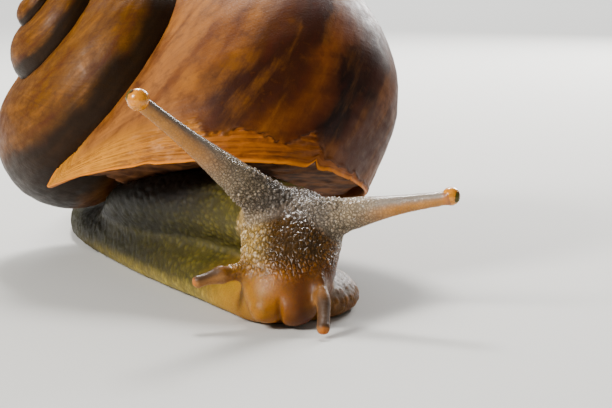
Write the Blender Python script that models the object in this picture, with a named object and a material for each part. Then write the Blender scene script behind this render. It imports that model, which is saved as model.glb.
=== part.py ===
"""A garden snail at life size, crawling with its head lowered and its tentacles out.

The snail faces -Y, its back is up +Z and its foot lies flat on the floor. Lengths are in millimetres until
the last step, which turns every mesh into metres and puts the origin under the middle of the model.
"""

import math

import bmesh
import bpy
from mathutils import Matrix, Vector

MM = 0.001
GAP = 0.3                      # kept between nodes that touch
MERGE = 1e-5                   # points nearer than this are one point

# Shell: a helicospiral, a tube whose section grows WHORL_RATIO times in each turn round the axis
WHORL_RATIO = 2.112
SECTION_RADIUS = 11.64         # of the last whorl at the aperture
SECTION_ASPECT = 0.97          # height of the section along the axis over its width
SECTION_TURN = math.radians(5.4)
AXIS_DISTANCE = 10.49          # from the axis to the middle of that section
APEX_HEIGHT = 21.26            # from that middle up to the apex, along the axis
COLUMELLA = 0.9                # radius of the pillar round the axis
SHELL_AZIMUTH = math.radians(4.0)      # of the apex, from the snail's right towards its tail
SHELL_ELEVATION = math.radians(44.4)
SHELL_SPIN = math.radians(1.1)         # of the aperture about the axis, from straight ahead
APERTURE_MIDDLE = Vector((4.1, 21.75, 9.2))
LIP_FRONT = Vector((-0.8, 12.4, 9.8))
APERTURE_NORMAL = Vector((-0.14, -0.295, -0.945)).normalized()
SWELL = 0.09                   # by which the last whorl swells low on its outer side, as a share of its radius
SWELL_ANGLE = math.radians(-45)        # of the section, at the middle of the swelling
SWELL_TIGHT = 6.4              # the larger, the narrower the swelling is round the section
SWELL_TURNS = (-0.21, -0.12)   # between which it grows
DRAW_TURNS = (-0.11, -0.02)    # between which the whorl is drawn in again towards the lip
LIP_DRAW = 1.9                 # how far it is drawn in there, times the swelling
SHELL_WALL = 0.65
RECESS_TURNS = 0.2            # of the last whorl that are open behind the aperture
WHORLS = 3.7
SEGMENT_TURNS = 0.6            # of each tube that the shell is joined from
OVERLAP_TURNS = 0.03           # of a tube over the one before it
STEP_BACK = 0.05               # of every second tube's surface, so that no two lie in one another
LAST_TURNS = 0.18              # past the aperture, up to where the last tube ends before the lip is cut
RECESS_END = 0.2               # the same for the tube that hollows it
MANTLE_BACK = 0.19             # turns behind the aperture at which the mantle begins
WHORL_SIDES = 30
LAST_RINGS = 28                # rings a turn of the last whorl
EARLIER_RINGS = 22             # and of the whorls before it

# Foot: (distance back, half width, height) and the bend of its middle line
FOOT_STATIONS = ((0.2, 2.2, 1.2), (1.0, 3.6, 2.1), (3.5, 5.1, 2.8), (8.0, 5.7, 3.2), (20.0, 5.6, 4.2),
                 (32.0, 5.4, 4.2), (42.0, 5.0, 3.7), (49.0, 3.9, 3.3), (56.0, 2.3, 2.1), (61.0, 0.8, 1.0))
FOOT_MIDDLE = ((0.0, -0.2), (6.0, 1.4), (20.0, 0.6), (40.0, 0.6), (61.0, 3.4))
FOOT_CUTS = (17.0, 40.0)       # where the front, the middle and the tail are parted
FOOT_RINGS = 34
EVEN_SHARE = 0.35              # of the rings' spacing that is even; the rest grows towards the tail
BACK_SIDES = 14                # of a section over the back of the foot
SOLE_SHARES = (-1.0, -0.5, 0.0, 0.5, 1.0)     # of the sole's half width, from one edge to the other
SOLE_INSET = 0.5               # of the flat sole from the foot's rounded edge
INSET_SHARE = 0.4              # of the half width, the most that the inset takes where the foot is narrow
SOLE_EDGE = 0.45               # height of the widest part of the foot
FLANK_POWER = 2.6              # of the curve over the foot, 2 for an ellipse

# Body: (middle of the section, half width, half thickness), from under the shell to the lips
BODY_STATIONS = (
    ((0.6, 38.0, 4.6), 3.6, 2.0), ((0.1, 32.0, 5.4), 5.4, 3.0), ((0.2, 24.0, 6.0), 5.8, 3.6),
    ((0.8, 17.0, 6.2), 5.0, 3.1), ((1.5, 10.0, 6.2), 4.0, 2.7), ((1.4, 5.8, 6.0), 3.8, 2.8),
    ((0.1, 3.1, 4.5), 3.55, 2.6), ((-1.0, 1.1, 2.9), 3.25, 2.1), ((-1.8, -0.2, 1.8), 2.6, 1.45),
    ((-2.1, -0.8, 1.4), 1.7, 0.9))
BODY_RINGS = 26
BODY_SIDES = 24
LIPS_POWER = 1.6               # above 1, the rings stand closer towards the lips
NEAR = 0.05                    # length over which the direction of the body's middle line is taken
NECK_CUTS = (6.8, 15.0)        # distances back that part the head, the neck and the torso

HEAD_TURN = math.radians(-24)  # of the face, towards the snail's right

# Lips: the middle and the half sizes of each lobe, and the slot of the mouth between them
LIPS = (((-3.0, 0.1, 1.4), (1.25, 1.3, 1.1)), ((-1.3, -0.8, 1.4), (1.75, 1.3, 1.25)))
MOUTH = ((-2.5, -1.3, 0.7), (0.3, 1.6, 1.6))

# Tentacles: the root, the middle and the tip, the half widths there, and the half width of the bulb
TENTACLES = {
    "upper_tentacle_right": (((0.9, 6.0, 6.9), (-6.5, 4.3, 12.5), (-11.7, 3.5, 16.5)), (1.95, 0.82, 0.5), 0.78),
    "upper_tentacle_left": (((1.3, 4.7, 6.4), (6.5, 0.2, 8.0), (10.3, -3.4, 9.0)), (2.0, 0.8, 0.45), 0.65),
    "lower_tentacle_right": (((-1.6, 2.2, 4.0), (-5.4, 2.5, 3.55), (-7.5, 2.6, 3.1)), (1.1, 0.52, 0.42), 0.48),
    "lower_tentacle_left": (((0.5, 0.6, 4.2), (0.2, -2.4, 2.2), (-0.85, -4.8, 0.42)), (1.0, 0.5, 0.46), 0.5),
}
STUB_SHARE = {"upper": 0.3, "lower": 0.45}    # of a tentacle that grows from the head's own node
EYE_SHARE = 0.945              # of an upper tentacle, past which its end is the eye's node
TENTACLE_PLACES = (0.0, 0.55, 1.0)            # of the root, the middle and the tip, as shares of its length
NEAR_SHARE = 0.02              # of the length, over which the direction of its middle line is taken
TIP_FLAT = 0.06                # square of the share of the bulb's width at its flat end
LOBE_SEGMENTS, LOBE_RINGS = 14, 10
SHARP_EDGE = math.radians(40)  # edges that fold more than this are shaded sharp
TENTACLE_SIDES = 14
STUB_RINGS = 6
TENTACLE_RINGS = 20
EYE_RINGS = 5
MANTLE_DEPTH = 1.2             # of the mantle's face inside the aperture


def smooth_value(pairs, at):
    """Reads a smooth curve through (place, value) pairs, flat past both ends."""
    if at <= pairs[0][0]:
        return pairs[0][1]
    for k in range(len(pairs) - 1):
        (a, low), (b, high) = pairs[k], pairs[k + 1]
        if at <= b:
            before = pairs[max(k - 1, 0)]
            after = pairs[min(k + 2, len(pairs) - 1)]
            slope_a = (high - before[1]) / (b - before[0])
            slope_b = (after[1] - low) / (after[0] - a)
            t = (at - a) / (b - a)
            width = b - a
            return ((2 * t**3 - 3 * t**2 + 1) * low + (t**3 - 2 * t**2 + t) * width * slope_a
                    + (3 * t**2 - 2 * t**3) * high + (t**3 - t**2) * width * slope_b)
    return pairs[-1][1]


def smooth_point(places, points, at):
    """Reads a smooth curve through points that belong to the given places."""
    return Vector([smooth_value([(a, p[k]) for a, p in zip(places, points)], at) for k in range(3)])


def new_object(name, bm, collection):
    bmesh.ops.recalc_face_normals(bm, faces=bm.faces)
    mesh = bpy.data.meshes.new(name)
    bm.to_mesh(mesh)
    bm.free()
    ob = bpy.data.objects.new(name, mesh)
    collection.objects.link(ob)
    return ob


def loft(name, rings, collection):
    """Joins equal rings of points with quads and closes both ends with flat faces."""
    bm = bmesh.new()
    loops = [[bm.verts.new(p) for p in ring] for ring in rings]
    count = len(rings[0])
    for near, far in zip(loops, loops[1:]):
        for i in range(count):
            j = (i + 1) % count
            bm.faces.new((near[i], near[j], far[j], far[i]))
    bm.faces.new(loops[0])
    bm.faces.new(loops[-1])
    return new_object(name, bm, collection)


def keep_largest(ob):
    """Keeps the largest closed surface of a mesh, without triangles that lie back to back."""
    bm = bmesh.new()
    bm.from_mesh(ob.data)
    bmesh.ops.remove_doubles(bm, verts=bm.verts, dist=MERGE)
    bmesh.ops.triangulate(bm, faces=bm.faces)
    twins = {}
    for face in bm.faces:
        twins.setdefault(frozenset(face.verts), []).append(face)
    flat = [face for faces in twins.values() if len(faces) == 2 for face in faces]
    bmesh.ops.delete(bm, geom=flat, context="FACES")
    left = set(bm.verts)
    pieces = []
    while left:
        piece = {left.pop()}
        edge = list(piece)
        while edge:
            near = {e.other_vert(v) for v in edge for e in v.link_edges}
            edge = list(near - piece)
            piece |= near
        left -= piece
        pieces.append(piece)
    pieces.sort(key=len)
    for piece in pieces[:-1]:
        bmesh.ops.delete(bm, geom=list(piece), context="VERTS")
    bm.to_mesh(ob.data)
    bm.free()


def combine(ob, others, operation):
    """Applies one Boolean with a collection of closed meshes and removes them."""
    group = bpy.data.collections.new("group")
    bpy.context.scene.collection.children.link(group)
    for other in others:
        for owner in list(other.users_collection):
            owner.objects.unlink(other)
        group.objects.link(other)
    boolean = ob.modifiers.new("boolean", "BOOLEAN")
    boolean.operand_type = "COLLECTION"
    boolean.collection = group
    boolean.operation = operation
    bpy.context.view_layer.update()
    evaluated = ob.evaluated_get(bpy.context.evaluated_depsgraph_get())
    mesh = bpy.data.meshes.new_from_object(evaluated)
    ob.modifiers.clear()
    ob.data = mesh
    for other in others:
        bpy.data.objects.remove(other)
    bpy.data.collections.remove(group)
    keep_largest(ob)
    return ob


def copy_of(ob, collection):
    twin = ob.copy()
    twin.data = ob.data.copy()
    collection.objects.link(twin)
    return twin


def keep_side(ob, point, normal):
    """Cuts a closed mesh with a plane, drops the side that the normal points to and closes the cut."""
    bm = bmesh.new()
    bm.from_mesh(ob.data)
    cut = bmesh.ops.bisect_plane(bm, geom=bm.verts[:] + bm.edges[:] + bm.faces[:], dist=MERGE,
                                 plane_co=point, plane_no=normal, clear_outer=True)
    rim = [e for e in cut["geom_cut"] if isinstance(e, bmesh.types.BMEdge) and e.is_boundary]
    bmesh.ops.contextual_create(bm, geom=rim)
    bmesh.ops.recalc_face_normals(bm, faces=bm.faces)
    bm.to_mesh(ob.data)
    bm.free()
    return ob


def shell_axes():
    """The apex direction, the direction from the axis to the aperture, and the growth direction."""
    flat = math.cos(SHELL_ELEVATION)
    up = Vector((-flat * math.cos(SHELL_AZIMUTH), flat * math.sin(SHELL_AZIMUTH), math.sin(SHELL_ELEVATION)))
    ahead = Vector((0, -1, 0))
    ahead = (ahead - up * ahead.dot(up)).normalized()
    out = Matrix.Rotation(SHELL_SPIN, 3, up) @ ahead
    return up, out, out.cross(up)


def ease(value, start, end):
    """0 before start, 1 after end and a smooth rise between."""
    t = min(max((value - start) / (end - start), 0.0), 1.0)
    return t * t * (3 - 2 * t)


def swelling(turns, angle):
    """How much wider the section is at one place than the plain tube, as a share of its radius."""
    near = math.exp(SWELL_TIGHT * (math.cos(angle - SWELL_ANGLE) - 1))
    return SWELL * near * ease(turns, *SWELL_TURNS) * (1 - LIP_DRAW * ease(turns, *DRAW_TURNS))


def shell_point(turns, angle, grow):
    """A point on the shell: turns counts back from the aperture, angle goes round the section."""
    up, out, ahead = shell_axes()
    theta = turns * math.tau
    scale = WHORL_RATIO ** turns
    radius = SECTION_RADIUS * scale * (1 + swelling(turns, angle)) + grow
    across = math.cos(angle) * radius
    along = math.sin(angle) * radius * SECTION_ASPECT
    side = across * math.cos(SECTION_TURN) - along * math.sin(SECTION_TURN)
    rise = across * math.sin(SECTION_TURN) + along * math.cos(SECTION_TURN)
    apex = APERTURE_MIDDLE - out * AXIS_DISTANCE + up * APEX_HEIGHT
    turned = out * math.cos(theta) + ahead * math.sin(theta)
    far = max(AXIS_DISTANCE * scale + side, COLUMELLA * scale - grow)
    return apex + turned * far + up * (rise - APEX_HEIGHT * scale)


def shell_tube(name, start, end, rings_a_turn, grow, collection):
    count = round((end - start) * rings_a_turn)
    rings = []
    for i in range(count + 1):
        turns = start + (end - start) * i / count
        rings.append([shell_point(turns, math.tau * j / WHORL_SIDES, grow) for j in range(WHORL_SIDES)])
    return loft(name, rings, collection)


def earlier_whorls(grow, oldest, cutters):
    """The whorls behind the last one, in solid tubes of less than a turn that overlap a little."""
    pieces = []
    start = -SEGMENT_TURNS
    while start > -oldest:
        back = max(start - SEGMENT_TURNS, -oldest)
        shrink = STEP_BACK if len(pieces) % 2 == 0 else 0.0
        pieces.append(shell_tube("earlier", back, start + OVERLAP_TURNS, EARLIER_RINGS, grow - shrink, cutters))
        start = back
    return pieces


def make_shell(name, grow, collection, cutters):
    """The whole shell, open at the aperture; grow makes every wall thicker on both sides."""
    inner = -SHELL_WALL - grow
    last = shell_tube(name, -SEGMENT_TURNS, LAST_TURNS, LAST_RINGS, grow, collection)
    recess = shell_tube("recess", -RECESS_TURNS, RECESS_END, LAST_RINGS, inner, cutters)
    keep_side(last, LIP_FRONT + APERTURE_NORMAL * grow, APERTURE_NORMAL)
    combine(last, [recess], "DIFFERENCE")
    return combine(last, earlier_whorls(grow, WHORLS, cutters), "UNION")


def foot_ring(y, grow):
    """One section of the foot: a flat sole, a rounded edge and a low back."""
    middle = smooth_value(FOOT_MIDDLE, y)
    half = smooth_value([(s[0], s[1]) for s in FOOT_STATIONS], y) + grow
    height = smooth_value([(s[0], s[2]) for s in FOOT_STATIONS], y) + grow
    points = []
    for i in range(BACK_SIDES + 1):
        angle = math.pi * i / BACK_SIDES
        x =math.copysign(abs(math.cos(angle)) ** (2 / FLANK_POWER), math.cos(angle)) * half
        z = SOLE_EDGE + (height - SOLE_EDGE) * math.sin(angle) ** (2 / FLANK_POWER)
        points.append(Vector((middle + x, y, z)))
    inset = min(SOLE_INSET, half * INSET_SHARE)
    floor = -grow
    for share in SOLE_SHARES:
        points.append(Vector((middle + share * (half - inset), y, floor)))
    return points


def make_foot(name, grow, collection):
    first, last = FOOT_STATIONS[0][0], FOOT_STATIONS[-1][0]
    rings = []
    for i in range(FOOT_RINGS + 1):
        share = i / FOOT_RINGS
        along = EVEN_SHARE * share + (1 - EVEN_SHARE) * share * share
        rings.append(foot_ring(first + (last - first) * along, grow))
    return loft(name, rings, collection)


def make_body(name, collection):
    """Torso, neck and head in one: sections square to a bent middle line."""
    places = [0.0]
    for (a, _, _), (b, _, _) in zip(BODY_STATIONS, BODY_STATIONS[1:]):
        places.append(places[-1] + (Vector(b) - Vector(a)).length)
    points = [s[0] for s in BODY_STATIONS]
    rings = []
    for i in range(BODY_RINGS + 1):
        share = i / BODY_RINGS
        at = places[-1] * (1 - (1 - share) ** LIPS_POWER)
        middle = smooth_point(places, points, at)
        ahead = smooth_point(places, points, at + NEAR) - smooth_point(places, points, at - NEAR)
        side = ahead.cross(Vector((0, 0, 1))).normalized()
        rise = side.cross(ahead).normalized()
        half = smooth_value([(p, s[1]) for p, s in zip(places, BODY_STATIONS)], at)
        thick = smooth_value([(p, s[2]) for p, s in zip(places, BODY_STATIONS)], at)
        ring = []
        for j in range(BODY_SIDES):
            angle = math.tau * j / BODY_SIDES
            ring.append(middle + side * (half * math.cos(angle)) + rise * (thick * math.sin(angle)))
        rings.append(ring)
    return loft(name, rings, collection)


def tentacle_length(spec):
    return sum((Vector(b) - Vector(a)).length for a, b in zip(spec[0], spec[0][1:]))


def tentacle_ring(spec, share, grow):
    """One section of a tentacle: share runs from its root, in the head, to its tip."""
    points, widths, bulb = spec
    places = TENTACLE_PLACES
    middle = smooth_point(places, points, share)
    ahead = smooth_point(places, points, share + NEAR_SHARE) - smooth_point(places, points, share - NEAR_SHARE)
    half = smooth_value(list(zip(places, widths)), share)
    from_bulb = (1 - share) * tentacle_length(spec) / bulb
    if from_bulb < 2:
        swell = math.sqrt(max(TIP_FLAT, 1 - (from_bulb - 1) ** 2))
        half = max(half * min(from_bulb, 1) ** 0.5, bulb * swell)
    side = ahead.cross(Vector((0, 0, 1))).normalized()
    rise = side.cross(ahead).normalized()
    return [middle + (side * math.cos(math.tau * j / TENTACLE_SIDES)
                      + rise * math.sin(math.tau * j / TENTACLE_SIDES)) * (half + grow)
            for j in range(TENTACLE_SIDES)]


def tentacle_piece(name, spec, start, end, count, collection, grow=0.0):
    rings = []
    for i in range(count + 1):
        rings.append(tentacle_ring(spec, start + (end - start) * i / count, grow))
    return loft(name, rings, collection)


def ellipsoid(name, middle, halves, collection):
    bm = bmesh.new()
    bmesh.ops.create_uvsphere(bm, u_segments=LOBE_SEGMENTS, v_segments=LOBE_RINGS, radius=1.0)
    bmesh.ops.transform(bm, matrix=Matrix.Diagonal((*halves, 1)), verts=bm.verts)
    bmesh.ops.rotate(bm, matrix=Matrix.Rotation(HEAD_TURN, 3, "Z"), verts=bm.verts)
    bmesh.ops.translate(bm, vec=middle, verts=bm.verts)
    return new_object(name, bm, collection)


def slot(name, middle, sizes, collection):
    bm = bmesh.new()
    bmesh.ops.create_cube(bm, size=1.0)
    bmesh.ops.transform(bm, matrix=Matrix.Diagonal((*sizes, 1)), verts=bm.verts)
    bmesh.ops.rotate(bm, matrix=Matrix.Rotation(HEAD_TURN, 3, "Z"), verts=bm.verts)
    bmesh.ops.translate(bm, vec=middle, verts=bm.verts)
    return new_object(name, bm, collection)


def material(name, colour, roughness):
    mat = bpy.data.materials.new(name)
    mat.use_nodes = True
    shader = mat.node_tree.nodes["Principled BSDF"]
    shader.inputs["Base Color"].default_value = (*colour, 1)
    shader.inputs["Roughness"].default_value = roughness
    return mat


def main():
    for ob in list(bpy.data.objects):
        bpy.data.objects.remove(ob)
    snail = bpy.data.collections.new("garden_snail")
    cutters = bpy.data.collections.new("cutters")
    bpy.context.scene.collection.children.link(snail)
    bpy.context.scene.collection.children.link(cutters)

    shell = make_shell("shell", 0.0, snail, cutters)
    shell_space = make_shell("shell_space", GAP, cutters, cutters)

    foot = make_foot("foot", 0.0, cutters)
    combine(foot, [copy_of(shell_space, cutters)], "DIFFERENCE")
    ahead = Vector((0, 1, 0))
    front_cut, tail_cut = FOOT_CUTS
    half_gap = ahead * GAP / 2
    for name, low, high in (("foot_front", None, front_cut), ("foot_middle", front_cut, tail_cut),
                            ("tail", tail_cut, None)):
        piece = copy_of(foot, snail)
        piece.name = name
        if high is not None:
            keep_side(piece, ahead * high - half_gap, ahead)
        if low is not None:
            keep_side(piece, ahead * low + half_gap, -ahead)
    bpy.data.objects.remove(foot)

    body = make_body("body", cutters)
    foot_space = make_foot("foot_space", GAP, cutters)
    lobes = [ellipsoid("lobe", middle, halves, cutters) for middle, halves in LIPS]
    stubs = []
    spaces = [foot_space, shell_space, slot("mouth", *MOUTH, cutters)]
    for name, spec in TENTACLES.items():
        share = STUB_SHARE[name[:5]]
        stubs.append(tentacle_piece("stub", spec, 0.0, share, STUB_RINGS, cutters))
        start = share + GAP / 2 / tentacle_length(spec)
        spaces.append(tentacle_piece("space", spec, start, 1.0, TENTACLE_RINGS, cutters, GAP))
    combine(body, lobes + stubs, "UNION")
    combine(body, spaces, "DIFFERENCE")
    inside = LIP_FRONT - APERTURE_NORMAL * (MANTLE_DEPTH - GAP)
    neck_cut, torso_cut = NECK_CUTS
    for name, low, high in (("head", None, neck_cut), ("neck", neck_cut, torso_cut),
                            ("torso", torso_cut, None)):
        piece = copy_of(body, snail)
        piece.name = name
        if high is not None:
            keep_side(piece, ahead * high - half_gap, ahead)
        if low is not None:
            keep_side(piece, ahead * low + half_gap, -ahead)
        if name == "torso":
            keep_side(piece, inside, -APERTURE_NORMAL)
        keep_largest(piece)
    bpy.data.objects.remove(body)

    mantle = shell_tube("mantle", -MANTLE_BACK, LAST_TURNS, LAST_RINGS, -SHELL_WALL - GAP, snail)
    keep_side(mantle, LIP_FRONT - APERTURE_NORMAL * MANTLE_DEPTH, APERTURE_NORMAL)
    combine(mantle, earlier_whorls(GAP, 1.0 + 2 * RECESS_TURNS, cutters), "DIFFERENCE")

    for name, spec in TENTACLES.items():
        kind = name[:5]
        share = STUB_SHARE[kind]
        step = GAP / tentacle_length(spec)
        end = EYE_SHARE if kind == "upper" else 1.0
        tentacle_piece(name, spec, share + step, end, TENTACLE_RINGS, snail)
        if kind == "upper":
            eye = name.replace("upper_tentacle", "eye")
            tentacle_piece(eye, spec, end + step, 1.0, EYE_RINGS, snail)

    colours = {"shell": (0.42, 0.2, 0.07), "eye": (0.05, 0.03, 0.03)}
    flesh = (0.33, 0.24, 0.13)
    for ob in list(snail.objects):
        kind = ob.name.split("_")[0]
        roughness = 0.45 if kind == "shell" else 0.35
        ob.data.materials.append(material(ob.name, colours.get(kind, flesh), roughness))
        ob.data.shade_smooth()
        ob.data.set_sharp_from_angle(angle=SHARP_EDGE)

    corners = [v.co for ob in snail.objects for v in ob.data.vertices]
    low = Vector([min(c[k] for c in corners) for k in range(3)])
    high = Vector([max(c[k] for c in corners) for k in range(3)])
    origin = Vector(((low.x + high.x) / 2, (low.y + high.y) / 2, 0))
    for ob in snail.objects:
        ob.data.transform(Matrix.Scale(MM, 4) @ Matrix.Translation(-origin))


main()
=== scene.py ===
# %% [markdown]
# # A garden snail, crawling with its head lowered
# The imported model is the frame: every piece below goes where its solids are, in metres, with the origin on
# the floor under the middle of the snail. Lengths in this lesson are in millimetres, measured from the tip
# of the foot, until a piece is finished and `finish_piece` turns it into metres.

import math

import bmesh
import bpy
import numpy as np
from mathutils import Matrix, Vector, noise
from mathutils.bvhtree import BVHTree


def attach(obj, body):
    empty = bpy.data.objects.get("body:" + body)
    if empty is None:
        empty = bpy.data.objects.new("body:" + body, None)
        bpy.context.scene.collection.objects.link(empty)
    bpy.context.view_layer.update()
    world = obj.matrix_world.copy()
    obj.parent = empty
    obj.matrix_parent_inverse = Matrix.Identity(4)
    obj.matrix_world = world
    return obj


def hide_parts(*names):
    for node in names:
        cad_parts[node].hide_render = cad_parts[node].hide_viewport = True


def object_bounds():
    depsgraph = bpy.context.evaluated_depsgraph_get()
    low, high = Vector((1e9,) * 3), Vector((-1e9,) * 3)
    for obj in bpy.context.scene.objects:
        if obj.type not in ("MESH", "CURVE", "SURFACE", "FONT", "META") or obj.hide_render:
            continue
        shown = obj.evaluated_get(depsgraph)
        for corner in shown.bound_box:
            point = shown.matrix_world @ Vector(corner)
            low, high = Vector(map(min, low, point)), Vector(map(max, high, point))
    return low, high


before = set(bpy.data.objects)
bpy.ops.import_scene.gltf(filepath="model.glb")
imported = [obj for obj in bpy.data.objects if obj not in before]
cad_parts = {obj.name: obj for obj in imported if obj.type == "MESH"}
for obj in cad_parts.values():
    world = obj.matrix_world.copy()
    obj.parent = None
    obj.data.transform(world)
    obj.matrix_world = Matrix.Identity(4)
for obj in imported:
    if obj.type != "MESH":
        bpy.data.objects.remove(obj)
cad_box = [list(corner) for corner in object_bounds()]

MM = 0.001
ORIGIN = Vector((2.4564, 28.0433, 0.0))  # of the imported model, in millimetres from the tip of the foot
TO_METRES = Matrix.Scale(MM, 4) @ Matrix.Translation(-ORIGIN)
TO_MM = TO_METRES.inverted()
BOX_LOW = TO_MM @ Vector(cad_box[0])
BOX_HIGH = TO_MM @ Vector(cad_box[1])
print("nodes:", sorted(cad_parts))
print("box in mm:", [round(v, 2) for v in (*BOX_LOW, *BOX_HIGH)])


def mix(a, b, share):
    return a + (b - a) * share


def ramp(value, start, end):
    """0 before start, 1 after end and a smooth rise between, for numbers and for arrays."""
    t = (value - start) / (end - start)
    t = np.clip(t, 0.0, 1.0) if isinstance(t, np.ndarray) else min(max(float(t), 0.0), 1.0)
    return t * t * (3 - 2 * t)


def finish_piece(name, bm, body="root"):
    """Makes a bmesh in millimetres into a piece in metres that rides on a body of the frame."""
    bmesh.ops.transform(bm, matrix=TO_METRES, verts=bm.verts)
    mesh = bpy.data.meshes.new(name)
    bm.to_mesh(mesh)
    bm.free()
    mesh.shade_smooth()
    piece = bpy.data.objects.new(name, mesh)
    bpy.context.scene.collection.objects.link(piece)
    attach(piece, body)
    return piece


def count_triangles(piece):
    piece.data.calc_loop_triangles()
    return len(piece.data.loop_triangles)

# %% [markdown]
# ## The camera
# The photograph was taken from very near, a little above the snail and from its right. A long lens at the
# real distance gives the same perspective, so the near tentacle and the far flank keep their true sizes.

# %% The camera
CAMERA_PLACE = Vector((-52.87, -118.76, 27.63))
CAMERA_AHEAD = Vector((0.4067, 0.9135, 0.0))
CAMERA_PITCH = math.radians(8.327)  # below the horizon
LENS = 110.9  # on a sensor 36 mm wide

camera = bpy.data.objects.new("camera", bpy.data.cameras.new("camera"))
bpy.context.scene.collection.objects.link(camera)
camera.data.lens = LENS
camera.data.sensor_width = 36.0
camera.data.clip_start = 0.005
camera.data.clip_end = 20.0
camera.location = TO_METRES @ CAMERA_PLACE
look = CAMERA_AHEAD.normalized() * math.cos(CAMERA_PITCH) - Vector((0, 0, math.sin(CAMERA_PITCH)))
camera.rotation_mode = "QUATERNION"
camera.rotation_quaternion = look.to_track_quat("-Z", "Y")
bpy.context.scene.camera = camera
print("camera height, mm:", round(camera.location.z / MM, 1))

# %% [markdown]
# ## The shell's spiral
# A snail's shell is a tube that grows by the same share in each turn round its axis. Two numbers place a
# point on it: how many turns it lies behind the mouth, and the angle round the tube's section. The values
# are those of the solid, so the detailed shell lies on it.

# %% The shell's spiral
WHORL_RATIO = 2.112
SECTION_RADIUS = 11.64
SECTION_ASPECT = 0.97
SECTION_TURN = math.radians(5.4)
AXIS_DISTANCE = 10.49
APEX_HEIGHT = 21.26
COLUMELLA = 0.9
SHELL_AZIMUTH = math.radians(4.0)
SHELL_ELEVATION = math.radians(44.4)
SHELL_SPIN = math.radians(1.1)
APERTURE_MIDDLE = Vector((4.1, 21.75, 9.2))
LIP_FRONT = Vector((-0.8, 12.4, 9.8))
APERTURE_NORMAL = Vector((-0.14, -0.295, -0.945)).normalized()
SWELL, SWELL_ANGLE, SWELL_TIGHT = 0.09, math.radians(-45), 6.4
SWELL_TURNS, DRAW_TURNS, LIP_DRAW = (-0.21, -0.12), (-0.11, -0.02), 1.9

flat = math.cos(SHELL_ELEVATION)
AXIS_UP = Vector((-flat * math.cos(SHELL_AZIMUTH), flat * math.sin(SHELL_AZIMUTH), math.sin(SHELL_ELEVATION)))
straight = Vector((0, -1, 0))
straight = (straight - AXIS_UP * straight.dot(AXIS_UP)).normalized()
AXIS_OUT = Matrix.Rotation(SHELL_SPIN, 3, AXIS_UP) @ straight
AXIS_ON = AXIS_OUT.cross(AXIS_UP)
APEX = APERTURE_MIDDLE - AXIS_OUT * AXIS_DISTANCE + AXIS_UP * APEX_HEIGHT


def swelling(turns, angle):
    """How much wider the last whorl is at one place than the plain tube, as a share of its radius."""
    near = math.exp(SWELL_TIGHT * (math.cos(angle - SWELL_ANGLE) - 1))
    return SWELL * near * ramp(turns, *SWELL_TURNS) * (1 - LIP_DRAW * ramp(turns, *DRAW_TURNS))


def shell_point(turns, angle, grow=0.0):
    """A point on the shell; grow lifts it off the surface of the tube."""
    theta = turns * math.tau
    scale = WHORL_RATIO ** turns
    radius = SECTION_RADIUS * scale * (1 + swelling(turns, angle)) + grow
    across = math.cos(angle) * radius
    along = math.sin(angle) * radius * SECTION_ASPECT
    side = across * math.cos(SECTION_TURN) - along * math.sin(SECTION_TURN)
    rise = across * math.sin(SECTION_TURN) + along * math.cos(SECTION_TURN)
    turned = AXIS_OUT * math.cos(theta) + AXIS_ON * math.sin(theta)
    far = max(AXIS_DISTANCE * scale + side, COLUMELLA * scale - grow)
    return APEX + turned * far + AXIS_UP * (rise - APEX_HEIGHT * scale)


def lip_turns(angle):
    """Where the tube meets the plane of the mouth, in turns, at one angle of the section."""
    def past(turns):
        return (shell_point(turns, angle) - LIP_FRONT).dot(APERTURE_NORMAL)

    low, high = -0.35, 0.17
    if past(low) > 0:
        return low
    if past(high) < 0:
        return high
    for _ in range(30):
        middle = (low + high) / 2
        low, high = (low, middle) if past(middle) > 0 else (middle, high)
    return low


for degrees in (-120, -60, 0, 60, 120):
    print("lip at", degrees, "degrees:", round(lip_turns(math.radians(degrees)), 3), "turns")

# %% [markdown]
# ## The shell
# A garden snail's shell keeps a record of its growth: fine ridges that run parallel to its lip, coarser
# folds where it rested, and shallow dents between them. So the mesh is laid out along those lines: every
# ring of the tube has the shape of the lip. The horny skin over the lime is torn and flaky near the lip.
# Bands of colour run along the tube instead, so every point keeps its place on the spiral in a map for the
# colours.

# %% Relief of the shell
REST_LINES = ((-0.088, 0.04), (-0.17, 0.05), (-0.31, 0.06), (-0.46, 0.05), (-0.72, 0.07), (-0.95, 0.06),
              (-1.4, 0.05))  # turns behind the lip, and height in millimetres
REST_WIDTH = 0.0035
NOTCH_ANGLE = math.radians(-12)  # of a small notch in the lip
FLAKY_REACH = ((-70, 0.004), (-25, 0.006), (-13, 0.009), (-4, 0.017), (35, 0.024), (80, 0.050),
               (140, 0.05))  # angle in degrees, and how far behind the lip the skin is torn, in turns
WORN_FADE = 0.012  # turns over which the lip's raggedness dies away behind it


def lines_of_growth(turns, around):
    sway = noise.noise(Vector((around.x * 1.7, around.y * 1.7, turns * 9))) * 0.9
    along = turns * 62.0
    height = 0.020 * noise.noise(Vector((along * 1.9 + sway, 0.3, 7.0)))
    height += 0.030 * noise.noise(Vector((along * 0.55 + sway, 0.9, 2.0)))
    height += 0.010 * noise.noise(Vector((along * 5.0 + sway * 2, around.x * 2, around.y * 2)))
    for place, size in REST_LINES:
        height += size * math.exp(-((turns - place - 0.004 * sway) / REST_WIDTH) ** 2)
    return height


def smooth_edge(angle):
    """1 where the torn layers run out smoothly, 0 where they end in a sharp edge."""
    return ramp(math.degrees(angle), 34.0, 50.0)


def flaky_edge(angle):
    """How far behind the lip the torn layers end, in turns, at one place round the section."""
    reach = float(np.interp(math.degrees(angle), *zip(*FLAKY_REACH)))
    at = Vector((math.cos(angle), math.sin(angle), 0.0)) * 4.0
    return reach * (1 + 0.6 * (1 - smooth_edge(angle)) * noise.fractal(at, 0.75, 2.2, 5))


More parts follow.
